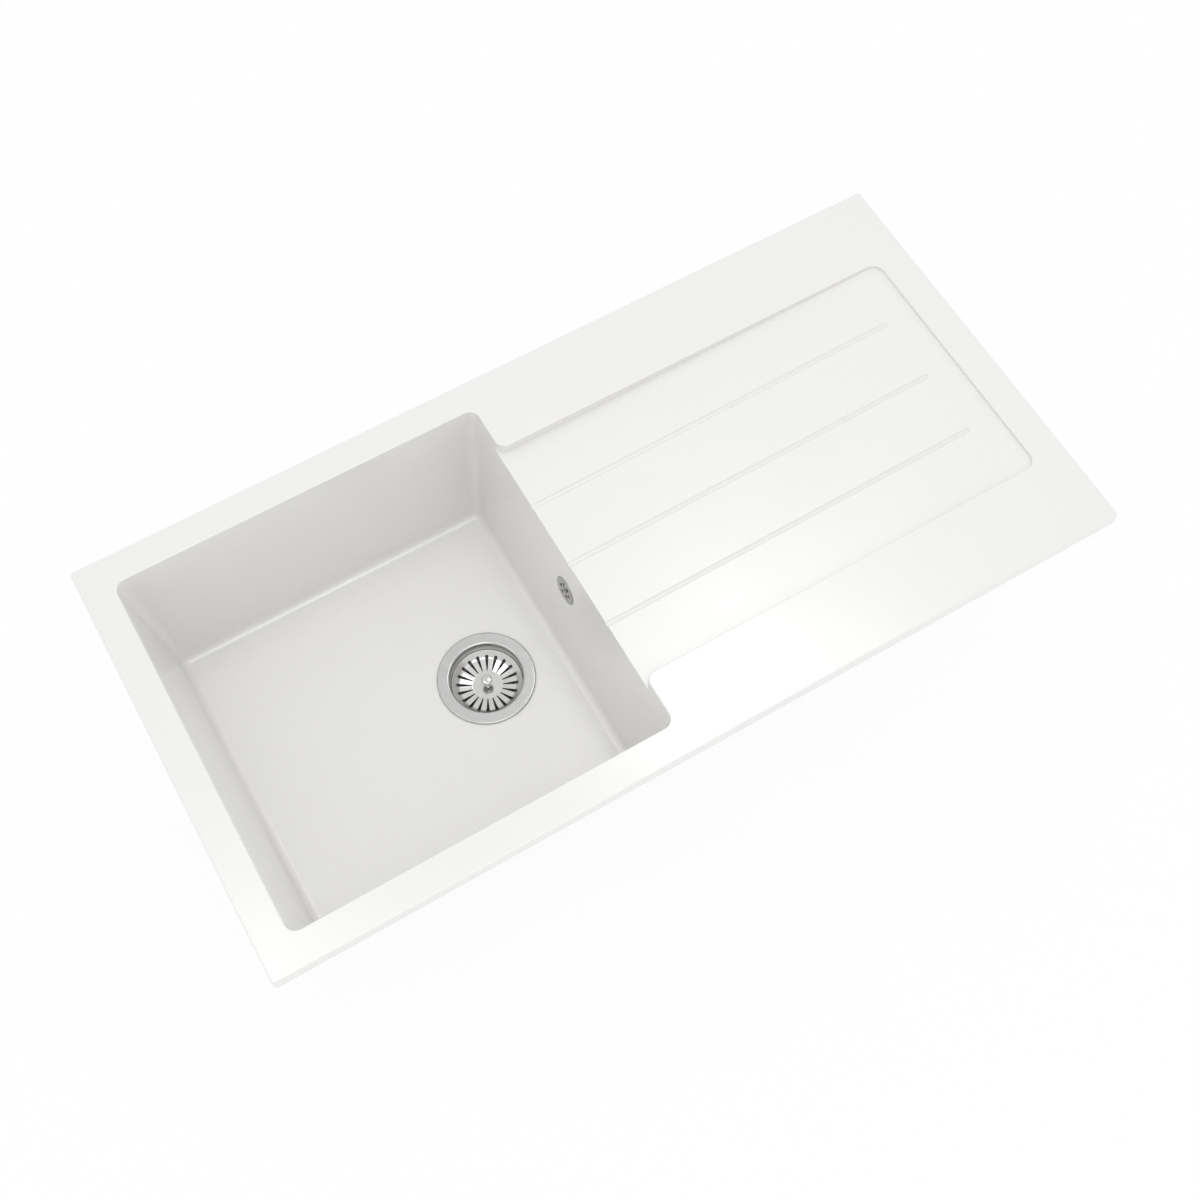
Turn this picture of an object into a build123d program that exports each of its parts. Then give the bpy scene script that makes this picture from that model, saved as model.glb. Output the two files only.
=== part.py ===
from build123d import *
from math import cos, radians, sin, tan
import os

# Inset kitchen sink: a cast composite basin with one square bowl and a sloping drainer, and its
# basket strainer waste and overflow. Sizes are in millimetres. The origin is at the centre of the
# rim's seat on the worktop, +X runs towards the drainer, +Y to the back and +Z up.

# Casting
sink_length = 1000.0
sink_width = 500.0
rim_height = 18.0            # outer edge face, from the worktop up
rim_margin = 35.0            # rim left, in front and behind the bowl
outer_corner_radius = 3.0
arris_radius = 1.5           # rounding of the outer top edge
mouth_radius = 1.2           # rounding of the edge around bowl and drainer
wall = 8.0                   # thickness of the casting
seat_width = 14.0            # ring that lies on the worktop
rib_count = 4                # stiffening ribs under each deck beside the drainer
rib_width = 8.0
rib_pitch = 100.0
rib_clearance = 1.5          # a rib's lower edge above the worktop
tap_hole_diameter = 35.0     # blind hole under each deck, opened on site for a tap
tap_hole_depth = 4.0
tap_hole_offset = 55.0       # from the bowl's right edge

# Bowl
bowl_length = 430.0
bowl_depth = 190.0
bowl_draft = 6.2             # degrees, all four walls
bowl_corner_radius = 12.0
bowl_floor_radius = 9.0
shell_corner_radius = 28.0   # outside of the bowl
shell_floor_radius = 26.0

# Drainer
drainer_side_margin = 95.0   # deck in front of and behind the drainer
drainer_end_margin = 38.0    # rim to the right of the drainer
drainer_lip_depth = 13.5     # depth where the drainer runs into the bowl
drainer_end_depth = 4.0      # depth at the far end
drainer_corner_radius = 14.0
drainer_mouth_radius = 12.0  # rounded corners where the drainer meets the bowl
groove_count = 3
groove_pitch = 80.5
groove_width = 6.4
groove_depth = 2.2
groove_end_margin = 36.0     # flat floor left at the end of a groove

# Strainer flange, a pressed steel cup that hangs in the bowl's floor
waste_offset = 100.0         # from the bowl's centre towards the drainer
drain_hole_diameter = 90.0
flange_diameter = 114.0
flange_sheet = 1.0
flange_gasket_height = 1.5
flange_edge_gap = 0.2        # between the turned-down edge and the bowl's floor
flange_edge_round = 1.2
flange_bend_radius = 2.0
cup_diameter = 84.0          # bore of the cup
throat_diameter = 52.0
throat_depth = 18.0
throat_hole_count = 8
throat_hole_diameter = 9.0
throat_hole_circle = 34.0
cup_bend_radius = 2.5

# Basket
basket_sheet = 0.8
basket_diameter = 82.6
basket_rim_drop = 13.0       # rim below the bowl's floor
basket_rim_width = 0.6
basket_bead_diameter = 1.4
basket_cone_diameter = 67.0  # where the rim's flat band turns down into the slotted cone
basket_cone_drop = 14.1
basket_disc_diameter = 35.0
basket_disc_drop = 19.0
slot_count = 20
slot_width = 3.5             # at the outer end
slot_tip_width = 0.7         # at the inner end
slot_outer_diameter = 71.5
slot_inner_diameter = 35.5
knob_diameter = 11.4
knob_rise = 12.6             # centre of the ball above the disc
knob_neck_diameter = 5.8
knob_foot_diameter = 9.0
knob_foot_height = 0.9
stem_diameter = 6.0
stem_tip_diameter = 4.0      # upper end, in the knob
stem_tip_rise = 11.0         # upper end above the disc
stem_reach = 7.7             # pin end inside the bolt's hollow head
seal_diameter = 62.0
seal_height = 3.0
washer_diameter = 40.0
washer_height = 1.0
stem_nut_width = 10.0        # across flats
stem_nut_height = 5.0
stem_ring_section = 1.5
stem_ring_groove = 0.8       # depth of the ring's groove in the stem
stem_ring_rise = 3.5         # ring's centre above the pin end

# Waste body
waste_gasket_height = 3.0
waste_flange_diameter = 112.0
waste_flange_height = 5.0
chamber_diameter = 94.0
chamber_depth = 40.0         # straight part of the chamber
chamber_cone_height = 13.0
waste_wall = 3.0
outlet_diameter = 47.8       # over the thread of a 1 1/2 inch pipe fitting
outlet_length = 34.0
outlet_wall = 4.4
outlet_chamfer = 1.0
neck_wall = 3.5              # collar that the outlet tube screws into
neck_height = 9.0
neck_step = 1.0              # the tube is slimmer inside the neck
ledge_height = 2.5           # shoulder that the outlet tube's top meets
spider_hub_diameter = 17.0
spider_height = 10.0
spider_arm_count = 3
spider_arm_width = 3.5
inlet_drop = 26.0            # overflow inlet below the waste body's top
inlet_reach = 82.0           # from the waste's axis to the inlet's end
bolt_diameter = 8.0
bolt_head_width = 16.0       # across flats
bolt_head_height = 10.0
bolt_socket_depth = 8.6
bolt_end_reach = 2.0         # past the threaded insert
clamp_insert_diameter = 12.0

# Overflow
overflow_drop = 70.0         # below the top face
overflow_hole_diameter = 27.0
cover_diameter = 35.0
cover_height = 1.2
cover_edge_round = 0.5
cover_hole_count = 6
cover_hole_diameter = 4.8
cover_hole_circle = 16.8
cover_screw_diameter = 4.0
cover_screw_head_diameter = 8.0
screw_slot_width = 1.2
screw_slot_depth = 0.9
overflow_gasket_height = 2.0
elbow_flange_diameter = 42.0
elbow_flange_height = 4.0
elbow_diameter = 31.0
elbow_wall = 3.0
elbow_reach = 20.0           # from the gasket to the pipe's axis
elbow_drop = 36.0            # from the elbow's axis to the end of its spigot
elbow_boss_diameter = 9.0
elbow_boss_length = 10.0
elbow_web_width = 2.6
overflow_insert_diameter = 6.0
pipe_diameter = 20.0
pipe_wall = 1.8
pipe_bend_radius = 32.0
pipe_insert = 14.0           # length of pipe inside each spigot
spigot_diameter = 27.0       # over the thread for the compression nut
pipe_seal_height = 3.0
nut_diameter = 34.6
nut_skirt = 12.0             # thread engaged on the spigot
nut_front = 3.0
nut_rib_count = 10
nut_rib_width = 4.0
nut_rib_height = 1.6

# Clearances
fit_gap = 0.05               # radial, between pieces that stay together
thread_gap = 0.15            # radial, nut over a spigot's thread
slide_gap = 0.3              # radial, ring on the stem inside the bolt's socket

# Places worked out from the sizes above
bowl_width = sink_width - 2 * rim_margin
bowl_x = rim_margin + bowl_length / 2 - sink_length / 2
bowl_right = bowl_x + bowl_length / 2
wall_slant = wall / cos(radians(bowl_draft))
floor_z = rim_height - bowl_depth
drainer_end = sink_length / 2 - drainer_end_margin
drainer_width = sink_width - 2 * drainer_side_margin
drainer_run = drainer_end - bowl_right
drainer_rise = drainer_lip_depth - drainer_end_depth
drainer_floor = Plane(
    origin=(bowl_right, 0, rim_height - drainer_lip_depth),
    x_dir=(drainer_run, 0, drainer_rise),
    z_dir=(-drainer_rise, 0, drainer_run),
)

# The waste's pieces are drawn with x as radius and y as height above the bowl's floor
waste_x = bowl_x + waste_offset
waste_axis = Axis((waste_x, 0, floor_z), (0, 0, 1))
waste_section = Plane(origin=(waste_x, 0, floor_z), x_dir=(1, 0, 0), z_dir=(0, -1, 0))
waste_level = Plane(origin=(waste_x, 0, floor_z))
flange_top = flange_gasket_height + flange_sheet
disc_under = -basket_disc_drop - basket_sheet
seat_height = disc_under - seal_height
throat_floor = seat_height - throat_depth
bolt_head_top = throat_floor + bolt_head_height
stem_end = bolt_head_top - stem_reach
ring_height = stem_end + stem_ring_rise
ring_line = stem_diameter / 2 - stem_ring_groove + stem_ring_section / 2
bolt_socket_radius = ring_line + stem_ring_section / 2 + slide_gap
waste_top = -wall - waste_gasket_height
chamber_bottom = waste_top - chamber_depth
outlet_top = chamber_bottom - chamber_cone_height
outlet_end = outlet_top - outlet_length
spider_top = outlet_top
inlet_height = waste_top - inlet_drop
spigot_bore = pipe_diameter + 4 * fit_gap

# The overflow's pieces stand on the bowl's right wall, with z pointing into the bowl
overflow_wall = Plane(
    origin=(bowl_right - overflow_drop * tan(radians(bowl_draft)), 0, rim_height - overflow_drop),
    x_dir=(0, 1, 0),
    z_dir=(-cos(radians(bowl_draft)), 0, sin(radians(bowl_draft))),
)
overflow_section = Plane(
    origin=overflow_wall.origin,
    x_dir=(0, 1, 0),
    z_dir=(sin(radians(bowl_draft)), 0, cos(radians(bowl_draft))),
)
elbow_face = -wall - overflow_gasket_height
elbow_centre = overflow_wall.from_local_coords(Vector(0, 0, elbow_face - elbow_reach))
elbow_end = Plane(
    origin=(elbow_centre.X, 0, elbow_centre.Z - elbow_drop), x_dir=(1, 0, 0), z_dir=(0, 0, -1)
)
inlet_end = Plane(
    origin=(waste_x + inlet_reach, 0, floor_z + inlet_height), x_dir=(0, 1, 0), z_dir=(1, 0, 0)
)

os.makedirs("parts", exist_ok=True)


def finish(builder, name):
    # Labels a finished piece and writes its file
    builder.part.label = name
    export_step(builder.part, f"parts/{name}.step")


def is_upright(edge):
    # True for an edge that runs up a drafted or plain wall
    return abs(edge.tangent_at(0.5).Z) > 0.7


# Space that holds water: the bowl and the drainer that runs into it
with BuildPart() as bowl_space:
    with BuildSketch(Plane.XY.offset(rim_height)):
        with Locations((bowl_x, 0)):
            Rectangle(bowl_length, bowl_width)
    extrude(amount=-bowl_depth, taper=bowl_draft)
    fillet(bowl_space.edges().filter_by(is_upright), bowl_corner_radius)
    fillet(bowl_space.faces().sort_by(Axis.Z)[0].edges(), bowl_floor_radius)

drainer_start = bowl_right - drainer_corner_radius - wall
with BuildPart() as drainer_space:
    with BuildSketch(Plane.XY.offset(rim_height)):
        with Locations(((drainer_start + drainer_end) / 2, 0)):
            Rectangle(drainer_end - drainer_start, drainer_width)
    extrude(amount=-2 * drainer_lip_depth)
    split(bisect_by=drainer_floor, keep=Keep.TOP)
    fillet(drainer_space.edges().filter_by(Axis.Z).group_by(Axis.X)[-1], drainer_corner_radius)


def is_mouth_corner(edge):
    # True for the two upright edges where the drainer's walls meet the bowl's right wall
    middle = edge.center()
    beside_wall = abs(abs(middle.Y) - drainer_width / 2) < fit_gap
    return is_upright(edge) and beside_wall and abs(middle.X - bowl_right) < wall


with BuildPart() as water_space:
    add(bowl_space.part)
    add(drainer_space.part)
    fillet(water_space.edges().filter_by(is_mouth_corner), drainer_mouth_radius)

# Outside of the bowl, one wall thickness from the inside
shell_depth = bowl_depth + wall
with BuildPart() as bowl_shell:
    with BuildSketch(Plane.XY.offset(rim_height)):
        with Locations((bowl_x, 0)):
            Rectangle(bowl_length + 2 * wall_slant, bowl_width + 2 * wall_slant)
    extrude(amount=-shell_depth, taper=bowl_draft)
    fillet(bowl_shell.edges().filter_by(is_upright), shell_corner_radius)
    fillet(bowl_shell.faces().sort_by(Axis.Z)[0].edges(), shell_floor_radius)

# Underside of the drainer, one wall thickness below its floor
tray_start = bowl_right - wall
tray_end = drainer_end + wall
with BuildPart() as drainer_tray:
    with BuildSketch(Plane.XY.offset(rim_height - wall / 2)):
        with Locations(((tray_start + tray_end) / 2, 0)):
            Rectangle(tray_end - tray_start, drainer_width + 2 * wall)
    extrude(amount=-2 * drainer_lip_depth - wall)
    split(bisect_by=drainer_floor.offset(-wall), keep=Keep.TOP)
    fillet(
        drainer_tray.edges().filter_by(Axis.Z).group_by(Axis.X)[-1],
        drainer_corner_radius + wall,
    )

# Grooves: round-bottomed channels in the drainer's floor, with a round far end
groove_radius = (groove_width**2 / 4 + groove_depth**2) / (2 * groove_depth)
groove_end = drainer_floor.to_local_coords(Vector(drainer_end, 0, rim_height)).X - groove_end_margin
groove_start = -2 * drainer_lip_depth
groove_length = groove_end - groove_width / 2 - groove_start
groove_section = Plane(
    origin=drainer_floor.from_local_coords(Vector(groove_start, 0, 0)),
    x_dir=(0, 1, 0),
    z_dir=drainer_floor.x_dir,
)

# Ribs reach from the drainer's tray to the rim's seat, under both decks
rib_inner = drainer_width / 2 + wall / 2
rib_outer = sink_width / 2 - seat_width / 2
tap_hole_x = bowl_right + tap_hole_offset
rib_x = (tap_hole_x + drainer_end) / 2 + rib_width

# Sink body: rim, bowl and drainer in one casting
with BuildPart() as sink_body:
    with BuildSketch():
        RectangleRounded(sink_length, sink_width, outer_corner_radius)
    extrude(amount=rim_height)
    fillet(sink_body.faces().sort_by(Axis.Z)[-1].edges(), arris_radius)
    with BuildSketch():
        Rectangle(sink_length - 2 * seat_width, sink_width - 2 * seat_width)
    extrude(amount=rim_height - wall, mode=Mode.SUBTRACT)
    add(bowl_shell.part)
    add(drainer_tray.part)
    with BuildSketch(Plane.XY.offset(rib_clearance)):
        with Locations((rib_x, 0)):
            with GridLocations(rib_pitch, rib_inner + rib_outer, rib_count, 2):
                Rectangle(rib_width, rib_outer - rib_inner)
    extrude(amount=rim_height - wall / 2 - rib_clearance)
    with BuildSketch(Plane.XY.offset(rim_height - wall)):
        with Locations((tap_hole_x, 0)):
            with GridLocations(0, sink_width - drainer_side_margin, 1, 2):
                Circle(tap_hole_diameter / 2)
    extrude(amount=tap_hole_depth, mode=Mode.SUBTRACT)
    add(water_space.part, mode=Mode.SUBTRACT)
    fillet(sink_body.faces().sort_by(Axis.Z)[-1].inner_wires()[0].edges(), mouth_radius)
    with BuildSketch(groove_section):
        with GridLocations(groove_pitch, 0, groove_count, 1):
            with Locations((0, groove_radius - groove_depth)):
                Circle(groove_radius)
    extrude(amount=groove_length, mode=Mode.SUBTRACT)
    with Locations(groove_section.offset(groove_length)):
        with GridLocations(groove_pitch, 0, groove_count, 1):
            with Locations((0, groove_radius - groove_depth)):
                Sphere(groove_radius, mode=Mode.SUBTRACT)
    with BuildSketch(waste_level):
        Circle(drain_hole_diameter / 2)
    extrude(amount=-2 * wall, mode=Mode.SUBTRACT)
    with BuildSketch(overflow_wall.offset(wall / 2)):
        Circle(overflow_hole_diameter / 2)
    extrude(amount=-2 * wall, mode=Mode.SUBTRACT)
finish(sink_body, "sink_body")

# Strainer flange: sheet steel turned down at its edge, with a cup, a seat and a drilled throat
flange_edge = flange_diameter / 2 - flange_sheet / 2
cup_line = cup_diameter / 2 + flange_sheet / 2
throat_line = throat_diameter / 2 + flange_sheet / 2
with BuildPart() as strainer_flange:
    with BuildSketch(waste_section):
        with BuildLine():
            FilletPolyline(
                (flange_edge, flange_edge_gap),
                (flange_edge, flange_top - flange_sheet / 2),
                (cup_line, flange_top - flange_sheet / 2),
                (cup_line, seat_height - flange_sheet / 2),
                (throat_line, seat_height - flange_sheet / 2),
                (throat_line, throat_floor - flange_sheet / 2),
                (bolt_diameter / 2 + 2 * fit_gap, throat_floor - flange_sheet / 2),
                radius=(
                    flange_edge_round,
                    flange_bend_radius,
                    cup_bend_radius,
                    cup_bend_radius,
                    cup_bend_radius,
                ),
            )
        trace(line_width=flange_sheet)
    revolve(axis=waste_axis)
    with BuildSketch(waste_level.offset(throat_floor)):
        with PolarLocations(throat_hole_circle / 2, throat_hole_count):
            Circle(throat_hole_diameter / 2)
    extrude(amount=-2 * flange_sheet, mode=Mode.SUBTRACT)
finish(strainer_flange, "strainer_flange")

# Flange gasket: rubber ring under the flange, inside its turned-down edge
with BuildPart() as flange_gasket:
    with BuildSketch(waste_level):
        Circle(flange_edge - flange_edge_round)
        Circle(cup_line + flange_bend_radius, mode=Mode.SUBTRACT)
    extrude(amount=flange_gasket_height)
finish(flange_gasket, "flange_gasket")

# Waste gasket: rubber ring between the casting's underside and the waste body
with BuildPart() as waste_gasket:
    with BuildSketch(waste_level.offset(waste_top)):
        Circle(waste_flange_diameter / 2)
        Circle(chamber_diameter / 2, mode=Mode.SUBTRACT)
    extrude(amount=waste_gasket_height)
finish(waste_gasket, "waste_gasket")

# Waste body: flanged chamber that narrows to a threaded neck, with an inlet for the overflow pipe
outlet_bore = outlet_diameter / 2 - outlet_wall
neck_bore = outlet_diameter / 2 - neck_step + thread_gap
with BuildPart() as waste_body:
    with BuildSketch(waste_section):
        with BuildLine():
            Polyline(
                (0, waste_top),
                (waste_flange_diameter / 2, waste_top),
                (waste_flange_diameter / 2, waste_top - waste_flange_height),
                (chamber_diameter / 2 + waste_wall, waste_top - waste_flange_height),
                (chamber_diameter / 2 + waste_wall, chamber_bottom),
                (neck_bore + neck_wall, outlet_top),
                (neck_bore + neck_wall, outlet_top - neck_height),
                (0, outlet_top - neck_height),
                close=True,
            )
        make_face()
    revolve(axis=waste_axis)
    with BuildSketch(inlet_end):
        Circle(spigot_diameter / 2)
    extrude(amount=-inlet_reach + chamber_diameter / 4)
    with BuildSketch(waste_section):
        with BuildLine():
            Polyline(
                (0, waste_top),
                (chamber_diameter / 2, waste_top),
                (chamber_diameter / 2, chamber_bottom),
                (outlet_bore, outlet_top + ledge_height),
                (outlet_bore, outlet_top),
                (neck_bore, outlet_top),
                (neck_bore, outlet_top - neck_height),
                (0, outlet_top - neck_height),
                close=True,
            )
        make_face()
    revolve(axis=waste_axis, mode=Mode.SUBTRACT)
    with BuildSketch(inlet_end):
        Circle(spigot_bore / 2)
    extrude(amount=-pipe_insert, mode=Mode.SUBTRACT)
    with BuildSketch(inlet_end):
        Circle(pipe_diameter / 2 - pipe_wall)
    extrude(amount=-inlet_reach + chamber_diameter / 4, mode=Mode.SUBTRACT)
finish(waste_body, "waste_body")

# Outlet tube: threaded tube in the waste body's neck, with a spider for the clamp bolt, which pulls
# the tube up against the neck's shoulder
with BuildPart() as outlet_tube:
    with BuildSketch(waste_level.offset(outlet_top)):
        Circle(outlet_diameter / 2 - neck_step)
        Circle(outlet_bore, mode=Mode.SUBTRACT)
    extrude(amount=-outlet_length)
    with BuildSketch(waste_level.offset(outlet_end)):
        Circle(outlet_diameter / 2)
        Circle(outlet_bore, mode=Mode.SUBTRACT)
    extrude(amount=outlet_length - neck_height - neck_step)
    with BuildSketch(waste_level.offset(spider_top)):
        Circle(spider_hub_diameter / 2)
        with PolarLocations(outlet_bore / 2, spider_arm_count):
            Rectangle(outlet_bore + outlet_wall, spider_arm_width)
        Circle(clamp_insert_diameter / 2 + fit_gap, mode=Mode.SUBTRACT)
    extrude(amount=-spider_height)
    chamfer(outlet_tube.faces().sort_by(Axis.Z)[0].outer_wire().edges(), outlet_chamfer)
finish(outlet_tube, "outlet_tube")

# Clamp insert: brass thread in the spider's hub
with BuildPart() as clamp_insert:
    with BuildSketch(waste_level.offset(spider_top)):
        Circle(clamp_insert_diameter / 2)
        Circle(bolt_diameter / 2 + fit_gap, mode=Mode.SUBTRACT)
    extrude(amount=-spider_height)
finish(clamp_insert, "clamp_insert")

# Clamp bolt: hexagon head with a socket for the basket's pin, and a shank down to the spider
bolt_end = spider_top - spider_height - bolt_end_reach
with BuildPart() as clamp_bolt:
    with BuildSketch(waste_level.offset(throat_floor)):
        RegularPolygon(bolt_head_width / 2, 6, major_radius=False)
    extrude(amount=bolt_head_height)
    with BuildSketch(waste_level.offset(throat_floor)):
        Circle(bolt_diameter / 2)
    extrude(amount=bolt_end - throat_floor)
    with BuildSketch(waste_level.offset(bolt_head_top)):
        Circle(bolt_socket_radius)
    extrude(amount=-bolt_socket_depth, mode=Mode.SUBTRACT)
finish(clamp_bolt, "clamp_bolt")

# Strainer basket: dished sheet with a beaded rim and a ring of slots that taper inwards
basket_rim = basket_diameter / 2 - basket_bead_diameter / 2
with BuildSketch(Plane.XY) as slot_outline:
    with BuildLine():
        slot_big = slot_outer_diameter / 2 - slot_width / 2
        slot_small = slot_inner_diameter / 2 + slot_tip_width / 2
        Polyline(
            (slot_small, slot_tip_width / 2),
            (slot_big, slot_width / 2),
        )
        ThreePointArc(
            (slot_big, slot_width / 2),
            (slot_outer_diameter / 2, 0),
            (slot_big, -slot_width / 2),
        )
        Polyline(
            (slot_big, -slot_width / 2),
            (slot_small, -slot_tip_width / 2),
        )
        ThreePointArc(
            (slot_small, -slot_tip_width / 2),
            (slot_inner_diameter / 2, 0),
            (slot_small, slot_tip_width / 2),
        )
    make_face()
with BuildPart() as strainer_basket:
    with BuildSketch(waste_section):
        with BuildLine():
            FilletPolyline(
                (basket_rim, -basket_rim_drop),
                (basket_rim - basket_rim_width, -basket_rim_drop),
                (basket_cone_diameter / 2, -basket_cone_drop),
                (basket_disc_diameter / 2, -basket_disc_drop - basket_sheet / 2),
                (stem_tip_diameter / 2 + fit_gap, -basket_disc_drop - basket_sheet / 2),
                radius=(basket_sheet / 2, 3 * basket_sheet, 2 * basket_sheet),
            )
        trace(line_width=basket_sheet)
        with Locations((basket_rim, -basket_rim_drop)):
            Circle(basket_bead_diameter / 2)
    revolve(axis=waste_axis)
    with BuildSketch(waste_level):
        with PolarLocations(0, slot_count, 180 / slot_count):
            add(slot_outline.sketch)
    extrude(amount=-2 * basket_disc_drop, mode=Mode.SUBTRACT)
finish(strainer_basket, "strainer_basket")

# Basket knob: ball on a flared neck
knob_centre = knob_rise - basket_disc_drop
knob_foot_top = knob_foot_height - basket_disc_drop
knob_under = knob_centre - (knob_diameter**2 / 4 - knob_neck_diameter**2 / 4) ** 0.5
stem_tip_top = stem_tip_rise - basket_disc_drop
with BuildPart() as basket_knob:
    with BuildSketch(waste_section):
        with BuildLine():
            Polyline(
                (0, knob_centre + knob_diameter / 2),
                (0, -basket_disc_drop),
                (knob_foot_diameter / 2, -basket_disc_drop),
                (knob_foot_diameter / 2, knob_foot_top),
                (knob_neck_diameter / 2, knob_foot_top + knob_foot_height),
                (knob_neck_diameter / 2, knob_under),
            )
            ThreePointArc(
                (knob_neck_diameter / 2, knob_under),
                (knob_diameter / 2, knob_centre),
                (0, knob_centre + knob_diameter / 2),
            )
        make_face()
        with Locations((0, (stem_tip_top - basket_disc_drop) / 2)):
            Rectangle(stem_tip_diameter + 2 * fit_gap, stem_tip_rise, mode=Mode.SUBTRACT)
    revolve(axis=waste_axis)
finish(basket_knob, "basket_knob")

# Basket stem: pin that carries the knob, the basket and the seal, and slides in the bolt's socket
with BuildPart() as basket_stem:
    with BuildSketch(waste_section):
        with BuildLine():
            Polyline(
                (0, stem_tip_top),
                (stem_tip_diameter / 2, stem_tip_top),
                (stem_tip_diameter / 2, disc_under),
                (stem_diameter / 2, disc_under),
                (stem_diameter / 2, stem_end),
                (0, stem_end),
                close=True,
            )
        make_face()
        with Locations((stem_diameter / 2, ring_height)):
            Rectangle(2 * stem_ring_groove, stem_ring_section + 2 * fit_gap, mode=Mode.SUBTRACT)
    revolve(axis=waste_axis)
finish(basket_stem, "basket_stem")

# Stem ring: rubber ring in the stem's groove
with BuildPart() as stem_ring:
    with BuildSketch(waste_section):
        with Locations((ring_line, ring_height)):
            Circle(stem_ring_section / 2)
    revolve(axis=waste_axis)
finish(stem_ring, "stem_ring")

# Basket seal: rubber disc that lies on the seat around the throat
stem_hole = stem_diameter / 2 + fit_gap
with BuildPart() as basket_seal:
    with BuildSketch(waste_level.offset(seat_height)):
        Circle(seal_diameter / 2)
        Circle(stem_hole, mode=Mode.SUBTRACT)
    extrude(amount=seal_height)
finish(basket_seal, "basket_seal")

# Seal washer
with BuildPart() as seal_washer:
    with BuildSketch(waste_level.offset(seat_height)):
        Circle(washer_diameter / 2)
        Circle(stem_hole, mode=Mode.SUBTRACT)
    extrude(amount=-washer_height)
finish(seal_washer, "seal_washer")

# Stem nut
with BuildPart() as stem_nut:
    with BuildSketch(waste_level.offset(seat_height - washer_height)):
        RegularPolygon(stem_nut_width / 2, 6, major_radius=False)
        Circle(stem_hole, mode=Mode.SUBTRACT)
    extrude(amount=-stem_nut_height)
finish(stem_nut, "stem_nut")

# Overflow cover: round plate on the bowl's wall with a ring of holes and a sunk screw hole
overflow_axis = Axis(overflow_wall.origin, overflow_wall.z_dir)
with BuildPart() as overflow_cover:
    with BuildSketch(overflow_wall):
        Circle(cover_diameter / 2)
        with PolarLocations(cover_hole_circle / 2, cover_hole_count):
            Circle(cover_hole_diameter / 2, mode=Mode.SUBTRACT)
    extrude(amount=cover_height)
    cover_front = overflow_cover.faces().sort_by(overflow_axis)[-1]
    fillet(cover_front.outer_wire().edges(), cover_edge_round)
    with Locations(overflow_wall.offset(cover_height)):
        CounterSinkHole(
            radius=cover_screw_diameter / 2 + fit_gap,
            counter_sink_radius=cover_screw_head_diameter / 2 + fit_gap,
            counter_sink_angle=90,
        )
finish(overflow_cover, "overflow_cover")

# Overflow screw: sunk head, with a shank into the elbow's brass insert
screw_head_height = (cover_screw_head_diameter - cover_screw_diameter) / 2
screw_end = elbow_face - elbow_boss_length
with BuildPart() as overflow_screw:
    with BuildSketch(overflow_section):
        with BuildLine():
            Polyline(
                (0, cover_height),
                (cover_screw_head_diameter / 2, cover_height),
                (cover_screw_diameter / 2, cover_height - screw_head_height),
                (cover_screw_diameter / 2, screw_end),
                (0, screw_end),
                close=True,
            )
        make_face()
    revolve(axis=overflow_axis)
    with BuildSketch(overflow_wall.offset(cover_height)):
        Rectangle(screw_slot_width, cover_screw_head_diameter)
    extrude(amount=-screw_slot_depth, mode=Mode.SUBTRACT)
finish(overflow_screw, "overflow_screw")

# Overflow gasket: rubber ring on the back of the bowl's wall
with BuildPart() as overflow_gasket:
    with BuildSketch(overflow_wall.offset(-wall)):
        Circle(elbow_flange_diameter / 2)
        Circle(overflow_hole_diameter / 2, mode=Mode.SUBTRACT)
    extrude(amount=-overflow_gasket_height)
finish(overflow_gasket, "overflow_gasket")

# Overflow elbow: flanged chamber behind the wall, a web with a boss for the screw, and a threaded
# spigot that points straight down
elbow_bore = elbow_diameter / 2 - elbow_wall
elbow_length = elbow_reach + elbow_diameter / 2
with BuildPart() as overflow_elbow:
    with BuildSketch(overflow_wall.offset(elbow_face)):
        Circle(elbow_flange_diameter / 2)
    extrude(amount=-elbow_flange_height)
    with BuildSketch(overflow_wall.offset(elbow_face)):
        Circle(elbow_diameter / 2)
    extrude(amount=-elbow_length)
    with BuildSketch(elbow_end):
        Circle(spigot_diameter / 2)
    extrude(amount=-elbow_drop)
    with BuildSketch(overflow_wall.offset(elbow_face)):
        Circle(elbow_bore)
    extrude(amount=elbow_wall - elbow_length, mode=Mode.SUBTRACT)
    with BuildSketch(elbow_end):
        Circle(spigot_bore / 2)
    extrude(amount=-pipe_insert, mode=Mode.SUBTRACT)
    with BuildSketch(elbow_end):
        Circle(pipe_diameter / 2 - pipe_wall)
    extrude(amount=-elbow_drop, mode=Mode.SUBTRACT)
    with BuildSketch(overflow_wall.offset(elbow_face)):
        Circle(elbow_boss_diameter / 2)
        Rectangle(elbow_web_width, 2 * elbow_bore + elbow_wall)
        Circle(overflow_insert_diameter / 2 + fit_gap, mode=Mode.SUBTRACT)
    extrude(amount=-elbow_boss_length)
finish(overflow_elbow, "overflow_elbow")

# Overflow insert: brass thread in the elbow's boss
with BuildPart() as overflow_insert:
    with BuildSketch(overflow_wall.offset(elbow_face)):
        Circle(overflow_insert_diameter / 2)
        Circle(cover_screw_diameter / 2 + fit_gap, mode=Mode.SUBTRACT)
    extrude(amount=-elbow_boss_length)
finish(overflow_insert, "overflow_insert")

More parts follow.
